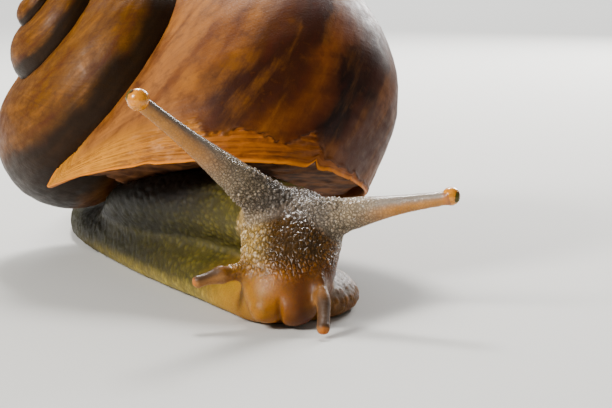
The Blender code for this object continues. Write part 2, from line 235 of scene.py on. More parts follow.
def flakes(turns, angle):
    """Torn layers just behind the lip, each with a sharp edge; the last one ends in a raised, ragged line."""
    edge = flaky_edge(angle)
    behind = -turns
    if behind > edge + 0.01:
        return 0.0
    sharp = 1 - smooth_edge(angle)
    near = ramp(behind, 0.0, 0.004) * (1 - ramp(behind, edge - 0.001, edge + 0.001))
    around = Vector((math.cos(angle), math.sin(angle), 0.0))
    torn = noise.fractal(Vector((around.x * 5, around.y * 5, turns * 260)), 0.7, 2.2, 4)
    crumbs = noise.noise(Vector((around.x * 20, around.y * 20, turns * 300)))
    rim = math.exp(-((behind - edge - 0.0006) / 0.0012) ** 2)
    return -near * (0.03 + 0.02 * sharp + 0.09 * ramp(torn, -0.05, 0.05) + 0.04 * crumbs) + 0.10 * sharp * rim


def relief(turns, angle):
    """Height of the surface over the tube, in millimetres, at one place on the spiral."""
    around = Vector((math.cos(angle), math.sin(angle), 0.0))
    dents = 0.07 * noise.fractal(Vector((around.x * 4.2, around.y * 4.2, turns * 21)), 0.9, 2.1, 3)
    worn = math.sqrt(WHORL_RATIO ** turns)
    return (lines_of_growth(turns, around) + dents) * worn + flakes(turns, angle)


def worn_back(angle):
    """How far the torn lip is worn back from its plane, in turns."""
    at = Vector((math.cos(angle) * 9, math.sin(angle) * 9, 3.3))
    notch = math.exp(-((angle - NOTCH_ANGLE) / 0.022) ** 2) * 0.005
    return 0.0008 + 0.0018 * max(0.0, noise.fractal(at, 0.8, 2.3, 4)) + notch

# %% Rings of the shell
WHORLS = 3.6
SHELL_SIDES = 300
FINE_TURNS = 0.06  # behind the lip, where the rings stand close together
MIDDLE_TURNS = 1.4
FINE_RINGS, MIDDLE_RINGS, EARLY_RINGS, INNER_RINGS = 84, 130, 64, 12
WALL = 0.6
RELIEF_DROP = 0.12  # keeps the relief under the plain tube, inside the solid's box
LIP_EDGE = ((0.0, 0.12), (-0.0006, 0.2), (-0.002, 0.3), (-0.006, 0.45), (-0.014, WALL))
INNER_REACH = 0.2  # turns that the inner wall goes back

early = np.linspace(-WHORLS, -MIDDLE_TURNS, EARLY_RINGS, endpoint=False)
middle = np.linspace(-MIDDLE_TURNS, -FINE_TURNS, MIDDLE_RINGS, endpoint=False)
outer_turns = [float(t) for t in (*early, *middle, *np.linspace(-FINE_TURNS, 0.0, FINE_RINGS))]
angles = [math.tau * j / SHELL_SIDES - math.pi for j in range(SHELL_SIDES)]
lips = [(angle, lip_turns(angle), worn_back(angle)) for angle in angles]

# %% Rings of points
def outer_ring(turns):
    fade = math.exp(turns / WORN_FADE)
    return [(turns + lip - worn * fade, angle, relief(turns, angle) - RELIEF_DROP)
            for angle, lip, worn in lips]


def inner_ring(turns, depth):
    return [(turns + lip - worn, angle, -depth - RELIEF_DROP) for angle, lip, worn in lips]


def shell_rings():
    """(turns, 0 outside to 1 inside, points) for each ring, from the apex to the lip and back inside."""
    rings = [(turns, 0.0, outer_ring(turns)) for turns in outer_turns]
    for turns, depth in LIP_EDGE:
        rings.append((turns, depth / WALL, inner_ring(turns, depth)))
    last = LIP_EDGE[-1][0]
    for i in range(1, INNER_RINGS + 1):
        turns = last - INNER_REACH * i / INNER_RINGS
        rings.append((turns, 1.0, inner_ring(turns, WALL)))
    return rings

# %% Building the shell
def extrude_ring(bm, edges):
    """Extrudes an open loop once and returns the new points and the new loop's edges."""
    made = bmesh.ops.extrude_edge_only(bm, edges=edges)["geom"]
    verts = [part for part in made if isinstance(part, bmesh.types.BMVert)]
    fresh = set(verts)
    loop = (e for v in verts for e in v.link_edges if e.other_vert(v) in fresh)
    return verts, list(dict.fromkeys(loop))


def face_number(face):
    """A number that puts the faces in the same order each run."""
    corners = [vert.index for vert in face.verts]
    return max(corners) * 1e6 + min(corners)


def build_shell():
    bm = bmesh.new()
    side = bm.verts.layers.int.new("side")
    spiral = bm.verts.layers.float_vector.new("spiral_place")
    torn = bm.verts.layers.float.new("torn_share")
    torn_from = [(flaky_edge(angle), 0.0007 + 0.02 * smooth_edge(angle)) for angle in angles]
    spiral_map = bm.loops.layers.uv.new("spiral")
    circle = bmesh.ops.create_circle(bm, segments=SHELL_SIDES, radius=1.0)["verts"]
    for j, vert in enumerate(circle):
        vert[side] = j
    verts, edges = circle, bm.edges[:]
    for r, (turns, inside, points) in enumerate(shell_rings()):
        if r > 0:
            verts, edges = extrude_ring(bm, edges)
        else:
            bmesh.ops.contextual_create(bm, geom=edges)
        for vert in verts:
            place, angle, grow = points[vert[side]]
            vert.co = shell_point(place, angle, grow)
            vert[spiral] = (turns, inside, vert[side] / SHELL_SIDES)
            edge, softness = torn_from[vert[side]]
            vert[torn] = ramp(turns + edge, -softness, softness)
    bmesh.ops.contextual_create(bm, geom=edges)
    bm.verts.index_update()
    bm.faces.sort(key=face_number)
    bmesh.ops.recalc_face_normals(bm, faces=bm.faces)
    for face in bm.faces:
        wraps = {loop.vert[side] for loop in face.loops} == {0, SHELL_SIDES - 1}
        for loop in face.loops:
            turns, inside, round_share = loop.vert[spiral]
            over = 1.0 if wraps and loop.vert[side] == 0 else 0.0
            loop[spiral_map].uv = (turns + WHORLS, round_share + over)
    return bm


shell = finish_piece("snail_shell", build_shell())
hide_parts("shell")
print("shell rings:", len(outer_turns), "triangles:", count_triangles(shell))

# %% [markdown]
# ## One skin over the flesh
# The solids of the flesh stand 0.3 mm apart, as separate parts must, but the animal has one skin. Copies of
# them are stretched towards each other until they overlap, melted into one surface by a voxel remesh, and
# smoothed, so that no joint is left. The solids themselves stay as they are.

# %% Joining the flesh
TRUNK = ("torso", "neck", "head", "foot_front", "foot_middle", "tail")
TENTACLES = ("upper_tentacle_right", "upper_tentacle_left", "lower_tentacle_right", "lower_tentacle_left")
EYES = {"upper_tentacle_right": "eye_right", "upper_tentacle_left": "eye_left"}
REACH = 0.5  # mm: surfaces nearer than this are joined
STRETCH = 1.5  # times the gap, so that the copies overlap
VOXEL = 0.2


def flesh_copy(name):
    """A closed copy of one solid, in millimetres."""
    bm = bmesh.new()
    bm.from_mesh(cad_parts[name].data)
    bmesh.ops.remove_doubles(bm, verts=bm.verts, dist=1e-7)
    bmesh.ops.transform(bm, matrix=TO_MM, verts=bm.verts)
    return bm


def long_axis(bm):
    """The middle of a long solid and the direction of its length."""
    points = np.array([v.co for v in bm.verts])
    middle = points.mean(axis=0)
    values, directions = np.linalg.eigh(np.cov((points - middle).T))
    return Vector(middle), Vector(directions[:, -1])

# %% Copies of the flesh, and how the tentacles lie
copies = {name: flesh_copy(name) for name in (*TRUNK, *TENTACLES, *EYES.values())}
trees = {name: BVHTree.FromBMesh(bm) for name, bm in copies.items()}
head_middle = Vector(np.array([v.co for v in copies["head"].verts]).mean(axis=0))
tentacle_frames = {}
for name in TENTACLES:
    middle, along = long_axis(copies[name])
    if along.dot(middle - head_middle) < 0:
        along = -along
    spans = [(v.co - middle).dot(along) for v in copies[name].verts]
    root = middle + along * min(spans)
    tentacle_frames[name] = (root, along, max(spans) - min(spans))
    print(name, "length, mm:", round(max(spans) - min(spans), 2))

# %% Stretching the copies together
FLARE = {"lower_tentacle_right": 0.45, "lower_tentacle_left": 0.15}
FLARE_LENGTH = 0.55  # as a share of the tentacle's length
for name, extra in FLARE.items():  # a lower tentacle widens where it leaves the face
    root, along, length = tentacle_frames[name]
    for vert in copies[name].verts:
        out = (vert.co - root).dot(along)
        aside = vert.co - root - along * out
        vert.co += aside * extra * (1 - ramp(out / length, 0.0, FLARE_LENGTH))


def stretch(name, others, keep=None):
    """Moves the points of one copy that lie near the others across the gap and a little into them."""
    for vert in copies[name].verts:
        if keep is not None and not keep(vert.co):
            continue
        for other in others:
            near, _, _, distance = trees[other].find_nearest(vert.co, REACH)
            if near is not None:
                vert.co += (near - vert.co) * STRETCH
                break


for name in TRUNK:
    stretch(name, [other for other in TRUNK if other != name])
for name in TENTACLES:
    root, along, length = tentacle_frames[name]
    stretch(name, ["head"], lambda co: (co - root).dot(along) < 0.3)
    if name in EYES:
        stretch(EYES[name], [name])

# %% One closed surface
def join_copies():
    mesh = bpy.data.meshes.new("flesh")
    joined = bmesh.new()
    for bm in copies.values():
        part = bpy.data.meshes.new("part")
        bm.to_mesh(part)
        joined.from_mesh(part)
        bpy.data.meshes.remove(part)
    joined.to_mesh(mesh)
    joined.free()
    return mesh


def with_modifiers(mesh, *steps):
    """Applies modifiers, each given as (type, settings), and returns the finished mesh."""
    holder = bpy.data.objects.new("holder", mesh)
    bpy.context.scene.collection.objects.link(holder)
    for kind, settings in steps:
        modifier = holder.modifiers.new(kind.lower(), kind)
        for key, value in settings.items():
            setattr(modifier, key, value)
    bpy.context.view_layer.update()
    done = bpy.data.meshes.new_from_object(holder.evaluated_get(bpy.context.evaluated_depsgraph_get()))
    bpy.data.objects.remove(holder)
    return done


flesh = with_modifiers(join_copies(), ("REMESH", {"mode": "VOXEL", "voxel_size": VOXEL, "adaptivity": 0.0}))
print("skin after the remesh:", len(flesh.vertices), "points,", len(flesh.polygons), "faces")

# %% [markdown]
# ## Smoothing, and finer faces on the head
# The remesh leaves small steps. Averaging each point with its neighbours takes them away, but also shrinks
# thin parts, so every step in is first followed by a step out. The body, the lips and the fold where the
# head grows out of the foot are then smoothed further. The head is looked at from nearest, so its faces are
# divided once more; the rest of the skin keeps the coarser mesh.

# %% Arrays for the skin
OWNERS = (*TRUNK, *TENTACLES, *EYES.values())
owner_points, owner_faces, owner_of = [], [], []
for index, name in enumerate(OWNERS):
    start = len(owner_points)
    owner_points += [v.co.copy() for v in copies[name].verts]
    for face in copies[name].faces:
        owner_faces.append([start + v.index for v in face.verts])
        owner_of.append(index)
owner_tree = BVHTree.FromPolygons(owner_points, owner_faces)


class Surface:
    """Points, normals and neighbours of a mesh in arrays, so that the whole skin is worked at once."""

    def __init__(self, mesh):
        count = len(mesh.vertices)
        self.mesh = mesh
        self.points = np.zeros(count * 3)
        mesh.vertices.foreach_get("co", self.points)
        self.points = self.points.reshape(-1, 3)
        self.edges = np.zeros(len(mesh.edges) * 2, dtype=int)
        mesh.edges.foreach_get("vertices", self.edges)
        self.edges = self.edges.reshape(-1, 2)
        self.degree = np.bincount(self.edges.ravel(), minlength=count)

    def around(self, values):
        """The mean of each point's neighbours."""
        a, b = self.edges[:, 0], self.edges[:, 1]
        total = np.bincount(a, weights=values[b], minlength=len(values))
        total += np.bincount(b, weights=values[a], minlength=len(values))
        return total / self.degree

    def blur(self, values, times):
        for _ in range(times):
            values = (values + self.around(values)) / 2
        return values

    def move(self, share):
        """Moves each point by a share of the way to the middle of its neighbours."""
        middle = np.stack([self.around(self.points[:, k]) for k in range(3)], axis=1)
        self.points += (middle - self.points) * share[:, None]

    def write(self):
        self.mesh.vertices.foreach_set("co", self.points.ravel())
        self.mesh.update()

    def normals(self):
        values = np.zeros(len(self.points) * 3)
        self.mesh.vertices.foreach_get("normal", values)
        return values.reshape(-1, 3)

    def shares(self, times):
        """How much each point belongs to each solid, blurred over their borders."""
        nearest = np.array([owner_of[owner_tree.find_nearest(p)[2]] for p in self.points])
        return {name: self.blur((nearest == i).astype(float), times) for i, name in enumerate(OWNERS)}

# %% Smoothing the skin
skin = Surface(flesh)
share = skin.shares(6)
fine_part = share["head"] + sum(share[name] for name in (*TENTACLES, *EYES.values()))
broad_part = 1 - fine_part
KEEP_STEPS, BROAD_STEPS, HEAD_STEPS, LIP_STEPS, FOLD_STEPS = 10, 60, 8, 9, 40
STEP_IN, STEP_OUT = 0.5, -0.52
for _ in range(KEEP_STEPS):  # keeps thin parts as thick as they are
    skin.move(np.full(len(skin.points), STEP_IN))
    skin.move(np.full(len(skin.points), STEP_OUT))
for _ in range(BROAD_STEPS):
    skin.move(STEP_IN * broad_part)
for _ in range(HEAD_STEPS):
    skin.move(STEP_IN * share["head"])
low_front = ramp(skin.points[:, 2], 3.6, 2.4) * ramp(skin.points[:, 1], 7.0, 4.0)
slender = sum(share[name] for name in TENTACLES)
for _ in range(LIP_STEPS):
    off_floor = ramp(skin.points[:, 2], 0.05, 0.5)
    skin.move(STEP_IN * low_front * off_floor * (1 - np.clip(2 * slender, 0, 1)))
sole = sum(share[name] for name in ("foot_front", "foot_middle", "tail"))
crease = np.clip(6 * share["head"] * sole, 0, 1) * ramp(skin.points[:, 2], 0.2, 0.8)
crease = skin.blur(crease, 3)
for _ in range(FOLD_STEPS):  # the head grows out of the foot without a sharp fold
    skin.move(STEP_IN * crease)
skin.write()
print("skin smoothed, height in mm:", round(float(skin.points[:, 2].max()), 2))

# %% Finer faces on the head
HEAD_FROM = 9.0  # mm from the tip of the foot: the skin is finer in front of this
FINE_SHARE = 0.35


def finer(mesh, chosen):
    bm = bmesh.new()
    bm.from_mesh(mesh)
    bm.verts.ensure_lookup_table()
    edges = [e for e in bm.edges if chosen[e.verts[0].index] and chosen[e.verts[1].index]]
    bmesh.ops.subdivide_edges(bm, edges=edges, cuts=1, use_grid_fill=True, smooth=0.6)
    bmesh.ops.triangulate(bm, faces=[f for f in bm.faces if len(f.verts) > 4])
    bm.to_mesh(mesh)
    bm.free()


chosen = (fine_part > FINE_SHARE) & (skin.points[:, 1] < HEAD_FROM)
finer(flesh, chosen)
skin = Surface(flesh)
share = skin.shares(8)
print("finer skin:", len(flesh.vertices), "points,", len(flesh.polygons), "faces")

# %% [markdown]
# ## Tubercles
# Snail skin is a net of fine grooves with a wet, rounded tubercle in each mesh. A Voronoi pattern makes
# such a net: the difference of the distances to its two nearest seeds is nothing on a groove and grows over
# each tubercle. The pattern is drawn out down the face and along the body, as the rows of real tubercles
# are. The lips stay smooth, and the tubercles of the tentacles, which are the smallest, are left to the
# finish.

# %% Net of tubercles
def net(points, along, width, length, seed):
    """Height from 0 in the grooves to 1 on the tubercles, for cells of the given width and length in mm."""
    axis = np.array(Vector(along).normalized())
    on = points @ axis
    stretched = points / width + axis * (on * (1 / length - 1 / width))[:, None] + seed
    heights = np.zeros(len(points))
    for i, place in enumerate(stretched):
        distances = noise.voronoi(Vector(place))[0]
        heights[i] = distances[1] - distances[0]
    return ramp(heights, 0.02, 0.5)


def cloud(points, size, seed=0.0):
    """Soft noise from about -1 to 1, with patches of the given size in mm."""
    return np.array([noise.noise(Vector(p / size + seed)) for p in points])

# %% Where the tubercles are
HEAD_AHEAD = (-0.40, -0.75, -0.53)  # down the face, from the crown to the mouth
CLEFT = (-2.3, -0.7, 1.4)  # between the lips
SIDE = np.array([math.cos(math.radians(-24)), math.sin(math.radians(-24)), 0.0])  # to the snail's left
x, y, z = skin.points.T
face = share["head"]
foot = share["foot_front"] + share["foot_middle"] + share["tail"]
across = (skin.points - np.array(head_middle)) @ SIDE
height = np.zeros(len(skin.points))
pattern = np.full(len(skin.points), 0.6)  # 0 in the grooves, 1 on the tubercles


def raise_net(where, along, width, length, size, seed):
    """Adds one net of tubercles where its share is more than a trace; size is their height in mm."""
    picked = where > 0.01
    there = np.clip(where[picked], 0, 1)
    cells = net(skin.points[picked], along, width, length, seed)
    height[picked] += there * size * (cells - 0.5)
    pattern[picked] += there * (cells - pattern[picked])


rough = ramp(cloud(skin.points, 2.5), -0.6, 0.6) * 0.4 + 0.8
bare = ramp(z + rough - 1, 5.0, 2.7) * face  # the lips and the face over them are smooth
brow = np.exp(-((across - 0.1) / 1.1) ** 2) * ramp(z, 4.4, 5.4)
cheek = face * ramp(across, -0.5, -2.0) * ramp(z, 3.0, 4.2) * ramp(z, 7.4, 6.4)
raise_net(face * (1 - bare) * rough * (1 - brow), HEAD_AHEAD, 0.34, 0.46, 0.06, 3.0)
raise_net(cheek * (1 - brow), HEAD_AHEAD, 0.32, 0.40, 0.08, 2.0)
raise_net(face * ramp(z, 7.3, 8.0), HEAD_AHEAD, 0.30, 0.45, 0.15, 8.0)
raise_net(face * brow, HEAD_AHEAD, 0.24, 0.8, 0.06, 6.0)
raise_net(share["neck"] * rough, (0.1, 1, 0.1), 0.45, 0.7, 0.10, 9.0)
raise_net(share["torso"] * rough, (0.1, 1, 0), 0.6, 1.0, 0.09, 5.0)
scaly = np.clip(ramp(y, 5, 12) + ramp(across, 1.6, 3.2), 0, 1)
raise_net(foot * ramp(z, 0.1, 0.7) * scaly * rough, (0, 0.5, 1), 0.45, 0.75, 0.09, 1.0)
cleft_off = across - float((np.array(CLEFT) - np.array(head_middle)) @ SIDE)
height -= 0.28 * face * np.exp(-(cleft_off / 0.2) ** 2) * ramp(z, 2.6, 1.4)
granules = face * (1 - bare) * (1 - 0.6 * brow)  # where the finish adds tubercles too small for the mesh
small = np.zeros(len(skin.points))  # 1 where they are smallest
tentacle_share, tentacle_out = {}, {}
for name in TENTACLES:
    root, along, length = tentacle_frames[name]
    on = (skin.points - np.array(root)) @ np.array(along)
    off = np.linalg.norm(skin.points - np.array(root) - on[:, None] * np.array(along), axis=1)
    upper = name.startswith("upper")
    thick = 2.3 if upper else 1.3
    base = face * ramp(on, -2.4 * thick, -0.8 * thick) * ramp(off, 1.25 * thick, 0.75 * thick)
    base *= 1.0 if upper else 0.3
    tentacle_share[name] = np.clip(share[name] + base, 0, 1)
    tentacle_out[name] = on / length
    grains = tentacle_share[name] * ramp(tentacle_out[name], 0.95, 0.8)
    grains *= 1 - 0.7 * ramp(tentacle_out[name], 0.05, 0.45)
    granules = np.maximum(granules * (1 - share[name]), grains * (1.0 if upper else 0.25))
    small = np.maximum(small, tentacle_share[name])
print("tubercles, mm:", round(height.min(), 3), "to", round(height.max(), 3))

# %% Skin onto its points
normals = skin.normals()
skin.points += normals * (height * ramp(z, 0.0, 0.4))[:, None]
skin.points = np.clip(skin.points, np.array(BOX_LOW), np.array(BOX_HIGH))
skin.write()

# %% [markdown]
# ## Colours of the skin
# The colour changes over the body, and follows it: grey and granular at the roots of the upper tentacles,
# smooth and tan under their shafts, brown between them, golden on the cheeks, clear amber at the lips,
# olive on the foot. It is worked out point by point from the place on the body, as one layer over the
# other, and kept as a colour attribute, with the grooves darker than the tubercles. Shares for the finish
# are kept in the same way.

# %% Palette of the skin
def tone(red, green, blue):
    """A colour as a picture editor gives it, 0 to 255, made linear."""
    return np.array([(c / 255) ** 2.2 for c in (red, green, blue)])


OLIVE, DEEP_OLIVE, UNDER_SHELL_SHADE = tone(82, 74, 20), tone(36, 35, 6), tone(14, 12, 5)
SAND, FOOT_BROWN, HONEY = tone(150, 132, 60), tone(122, 82, 36), tone(156, 114, 16)
UMBER, BROWN, GREY = tone(62, 42, 14), tone(92, 62, 20), tone(140, 129, 119)
CREAM_AND_LIGHT, AMBER, RUST = tone(208, 166, 86), tone(146, 88, 0), tone(78, 38, 0)
TAN, DUSK, TIP = tone(182, 124, 62), tone(74, 54, 38), tone(176, 96, 16)
HIGHLIGHT_PALE, ROOT = tone(222, 216, 212), tone(168, 149, 124)
SHADED_SLATE, GOLD = tone(118, 108, 100), tone(156, 104, 0)

# %% Painting by place
tints = np.tile(OLIVE, (len(skin.points), 1))


def paint(where, colour):
    global tints
    w = np.clip(where, 0, 1)[:, None]
    tints = tints * (1 - w) + colour * w


normals = skin.normals()
x, y, z = skin.points.T
patches = cloud(skin.points, 3.0, 7.0)
specks = cloud(skin.points, 0.7, 2.0)
back = share["torso"] + share["neck"]
paint(foot * ramp(y, 6, 26), DEEP_OLIVE)
paint(foot * ramp(z, 1.7, 0.5) * ramp(y, 44, 16), SAND)
paint(foot * ramp(y, 12, 5), HONEY)
paint(foot * ramp(y, 7, 2), mix(HONEY, AMBER, 0.5))
paint(foot * ramp(across, 1.0, 3.0) * ramp(y, 18, 10), FOOT_BROWN)
# painted sheen: the top of the foot's front on the snail's left is painted paler
paint(foot * ramp(across, 1.2, 2.4) * ramp(y, 18, 10) * ramp(z, 1.3, 2.8) * 0.8, HIGHLIGHT_PALE * 0.5)
paint(back * ramp(y, 7, 20), DEEP_OLIVE)
# painted shade: the torso's top under the shell's lip, and its back under the shell, are painted near black
paint(back * ramp(z, 5.0, 7.5) * ramp(y, 9, 17), UNDER_SHELL_SHADE)
paint(back * ramp(y, 26, 34), UNDER_SHELL_SHADE)

paint(face, BROWN)
# the cheek on the snail's right is cream, partly its own golden colour and partly painted light on the side
# the lamps fall on
paint(face * ramp(across, -0.8, -2.6) * ramp(z, 3.0, 4.2), CREAM_AND_LIGHT)
# painted glints: the cheek's tubercle tops are painted paler
paint(cheek * ramp(pattern, 0.45, 0.8) * 0.7, mix(CREAM_AND_LIGHT, HIGHLIGHT_PALE, 0.5))
paint(face * ramp(across, 2.0, 3.4) * 0.5, TAN)
paint(face * np.exp(-((across - 0.5) / 1.8) ** 2) * ramp(z, 3.4, 6.0) * 0.85, UMBER)
crown_from = 7.4 + 0.8 * np.exp(-((across - 0.5) / 1.3) ** 2)  # brown runs up higher between the tentacles
paint(face * ramp(z, crown_from, crown_from + 0.7), GREY)
paint(face * ramp(z, crown_from + 0.1, crown_from + 0.6) * ramp(pattern, 0.5, 0.25), UMBER)
# painted glints: the tops of the crown's tubercles are painted pale
paint(face * ramp(z, crown_from + 0.1, crown_from + 0.6) * ramp(pattern, 0.5, 0.85), HIGHLIGHT_PALE)
paint(face * ramp(z, 5.2, 3.2), AMBER)
paint(face * ramp(z, 4.8, 3.4) * ramp(across, -0.3, -2.2) * 0.8, GOLD)
paint(face * ramp(z, 5.2, 3.0) * ramp(across, -1.4, 1.6), RUST)
for name in TENTACLES:
    upper, own, out = name.startswith("upper"), tentacle_share[name], tentacle_out[name]
    if upper:
        paint(own, GREY)
        paint(own * ramp(out, -0.35, 0.0), ROOT)
        paint(own * ramp(out, 0.1, 0.4), GREY)
    else:
        paint(own, mix(BROWN, AMBER, 0.4))
        paint(own * ramp(out, 0.0, 0.35), DUSK)
    # painted shade: the shaft of the right upper tentacle is painted a darker slate
    if name == "upper_tentacle_right":
        paint(own * ramp(out, 0.25, 0.7), SHADED_SLATE)
    below = own * ramp(normals[:, 2], 0.55, -0.25)
    paint(below * ramp(out, 0.0, 0.5) if upper else below, TAN if upper else mix(DUSK, TAN, 0.6))
    paint(own * ramp(out, 0.9, 1.0), TIP)
tints *= (1 + 0.14 * patches + 0.12 * specks)[:, None]
tints *= (0.5 + 0.7 * pattern)[:, None]
tints = np.clip(tints, 0.001, 1)

# %% Colours and shares into the mesh
def give_colours(mesh, colours, name="tint"):
    layer = mesh.color_attributes.new(name, "FLOAT_COLOR", "POINT")
    rgba = np.concatenate([colours, np.ones((len(colours), 1))], axis=1)
    layer.data.foreach_set("color", rgba.ravel())


def give_shares(mesh, values, name):
    give_colours(mesh, np.repeat(np.clip(values, 0, 1)[:, None], 3, axis=1), name)


give_colours(flesh, tints)
give_shares(flesh, granules, "granules")
give_shares(flesh, small, "small")
forehead = face * np.exp(-((across - 0.5) / 1.8) ** 2) * ramp(z, 7.2, 6.4)
lower = share["lower_tentacle_right"] + share["lower_tentacle_left"]
give_shares(flesh, np.maximum(0.6 * bare, 0.25 * forehead) + foot + back + 0.6 * lower, "dull")
give_shares(flesh, bare + 0.6 * foot * ramp(y, 12, 5), "clear")
bm = bmesh.new()
bm.from_mesh(flesh)
skin_piece = finish_piece("snail_skin", bm)
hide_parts(*TRUNK, *TENTACLES)
print("skin triangles:", count_triangles(skin_piece))

# %% [markdown]
# ## Eyes
# A garden snail carries each eye in the round end of an upper tentacle: a clear amber bulb with one dark
# spot.

# %% Eyes
BULB = {"eye_right": 0.79, "eye_left": 0.66}
eye_pieces = {}
for tentacle, eye in EYES.items():
    root, along, length = tentacle_frames[tentacle]
    tip = max((vert.co for vert in copies[eye].verts), key=lambda corner: corner.dot(along))
    centre = Vector(tip) - along * BULB[eye]
    bm = bmesh.new()
    bmesh.ops.create_icosphere(bm, subdivisions=5, radius=BULB[eye])
    bmesh.ops.translate(bm, vec=centre, verts=bm.verts)
    piece = finish_piece("snail_" + eye, bm)
    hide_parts(eye)
    eye_pieces[eye] = (piece, centre, along)
    print(eye, "bulb middle, mm:", [round(v, 2) for v in centre])

# %% [markdown]
# ## Finishes
# Each finish is a few nodes over what the mesh keeps. The skin's has patches, fine grain and, where the
# mesh says so, tubercles too small for its faces: Voronoi cells, darker on their borders and raised by a
# bump. It is wet, so its roughness is low, apart from the places marked as dull. Snail skin lets light in,
# most of all at the lips, so part of the light comes back from under the surface, reddest where it goes
# deepest.

# %% Helpers for the finishes
class Nodes:
    """Short calls for building a material."""

    def __init__(self, name):
        self.material = bpy.data.materials.new(name)
        self.material.use_nodes = True
        self.tree = self.material.node_tree
        self.shader = self.tree.nodes["Principled BSDF"]

    def add(self, kind, **settings):
        node = self.tree.nodes.new(kind)
        for key, value in settings.items():
            setattr(node, key, value)
        return node

    def link(self, source, target):
        self.tree.links.new(source, target)

    def feed(self, socket, value):
        if isinstance(value, bpy.types.NodeSocket):
            self.link(value, socket)
        else:
            socket.default_value = value

    def place(self):
        return self.add("ShaderNodeTexCoord").outputs["Object"]

    def noise(self, vector, size, detail=3.0, rough=0.5, distortion=0.0):
        """Noise with features of the given size in millimetres."""
        node = self.add("ShaderNodeTexNoise")
        self.feed(node.inputs["Vector"], vector)
        node.inputs["Scale"].default_value = 1 / (size * MM)
        node.inputs["Detail"].default_value = detail
        node.inputs["Roughness"].default_value = rough
        node.inputs["Distortion"].default_value = distortion
        return node.outputs["Fac"]

    def domes(self, vector, size):
        """Cells of the given size in millimetres: 0 on their borders, 1 over their middles."""
        node = self.add("ShaderNodeTexVoronoi", feature="DISTANCE_TO_EDGE")
        self.feed(node.inputs["Vector"], vector)
        node.inputs["Scale"].default_value = 1 / (size * MM)
        return self.remap(node.outputs["Distance"], 0.0, 0.27)

    def drawn_out(self, vector, axis, ratio):
        """The same place, but with patterns drawn out along an axis."""
        unit = Vector(axis).normalized()
        along = self.add("ShaderNodeVectorMath", operation="DOT_PRODUCT")
        self.link(vector, along.inputs[0])
        along.inputs[1].default_value = unit
        back = self.add("ShaderNodeVectorMath", operation="SCALE")
        back.inputs[0].default_value = unit * (1 / ratio - 1)
        self.link(along.outputs["Value"], back.inputs["Scale"])
        total = self.add("ShaderNodeVectorMath", operation="ADD")
        self.link(vector, total.inputs[0])
        self.link(back.outputs["Vector"], total.inputs[1])
        return total.outputs["Vector"]

    def mix_numbers(self, share, a, b):
        node = self.add("ShaderNodeMix", data_type="FLOAT")
        self.feed(node.inputs[0], share)
        self.feed(node.inputs[2], a)
        self.feed(node.inputs[3], b)
        return node.outputs[0]

    def shade(self, value):
        """A grey of the given strength."""
        node = self.add("ShaderNodeCombineColor")
        for socket in node.inputs:
            self.feed(socket, value)
        return node.outputs["Color"]

    def colour(self, layer):
        return self.add("ShaderNodeVertexColor", layer_name=layer).outputs["Color"]

    def remap(self, value, low, high, start=0.0, end=1.0):
        node = self.add("ShaderNodeMapRange", interpolation_type="SMOOTHSTEP")
        self.feed(node.inputs["Value"], value)
        for key, number in (("From Min", low), ("From Max", high), ("To Min", start), ("To Max", end)):
            node.inputs[key].default_value = number
        return node.outputs["Result"]

    def math(self, operation, a, b=0.0):
        node = self.add("ShaderNodeMath", operation=operation)
        self.feed(node.inputs[0], a)
        self.feed(node.inputs[1], b)
        return node.outputs[0]

    def times(self, a, b):
        return self.math("MULTIPLY", a, b)

    def minus(self, a, b):
        return self.math("SUBTRACT", a, b)

    def blend(self, share, a, b, kind="MIX"):
        node = self.add("ShaderNodeMix", data_type="RGBA", blend_type=kind)
        self.feed(node.inputs["Factor"], share)
        for key, value in (("A", a), ("B", b)):
            socket = [s for s in node.inputs if s.name == key and s.type == "RGBA"][0]
            if isinstance(value, bpy.types.NodeSocket):
                self.link(value, socket)
            else:
                socket.default_value = (*value, 1)
        return [s for s in node.outputs if s.type == "RGBA"][0]

    def bump(self, height, depth, normal=None):
        """Bump whose height of 1 stands for depth, in millimetres."""
        node = self.add("ShaderNodeBump")
        node.inputs["Strength"].default_value = 1.0
        node.inputs["Distance"].default_value = depth * MM
        self.feed(node.inputs["Height"], height)
        if normal is not None:
            self.link(normal, node.inputs["Normal"])
        return node.outputs["Normal"]

    def set(self, **values):
        for key, value in values.items():
            self.feed(self.shader.inputs[key.replace("_", " ")], value)

# %% Finish of the skin
wet = Nodes("wet_skin")
place = wet.place()
tint = wet.colour("tint")
grain = wet.noise(place, 0.14, 4.0, 0.6)
patch = wet.noise(place, 1.1, 3.0)
small_share, granule_share = wet.colour("small"), wet.colour("granules")
large_domes = wet.domes(wet.drawn_out(place, HEAD_AHEAD, 1.7), 0.28)
domes = wet.mix_numbers(small_share, large_domes, wet.domes(place, 0.23))
domes = wet.mix_numbers(granule_share, 0.7, domes)
grooves = wet.shade(wet.remap(domes, 0.0, 0.8, 0.46, 1.08))
tint = wet.blend(1.0, tint, grooves, "MULTIPLY")
tint = wet.blend(wet.remap(grain, 0.4, 0.75, 0.0, 0.3), tint, (0.04, 0.025, 0.012))
tint = wet.blend(wet.remap(patch, 0.3, 0.7, 0.0, 0.25), tint, (0.9, 0.8, 0.6), "SOFT_LIGHT")
clear = wet.colour("clear")
wet.set(Base_Color=tint, IOR=1.35, Subsurface_Scale=0.6 * MM)
wet.set(Subsurface_Weight=wet.remap(clear, 0.0, 1.0, 0.06, 0.7))
wet.shader.inputs["Subsurface Radius"].default_value = (1.0, 0.5, 0.18)
dull = wet.remap(wet.colour("dull"), 0.0, 1.0, 0.0, 0.34)
wet.set(Roughness=wet.math("ADD", dull, wet.remap(grain, 0.3, 0.7, 0.17, 0.32)))
fine_relief = wet.bump(wet.times(domes, granule_share), 0.07)
wet.set(Normal=wet.bump(grain, 0.02, fine_relief))
skin_piece.data.materials.append(wet.material)
print("nodes in the skin's finish:", len(wet.tree.nodes))

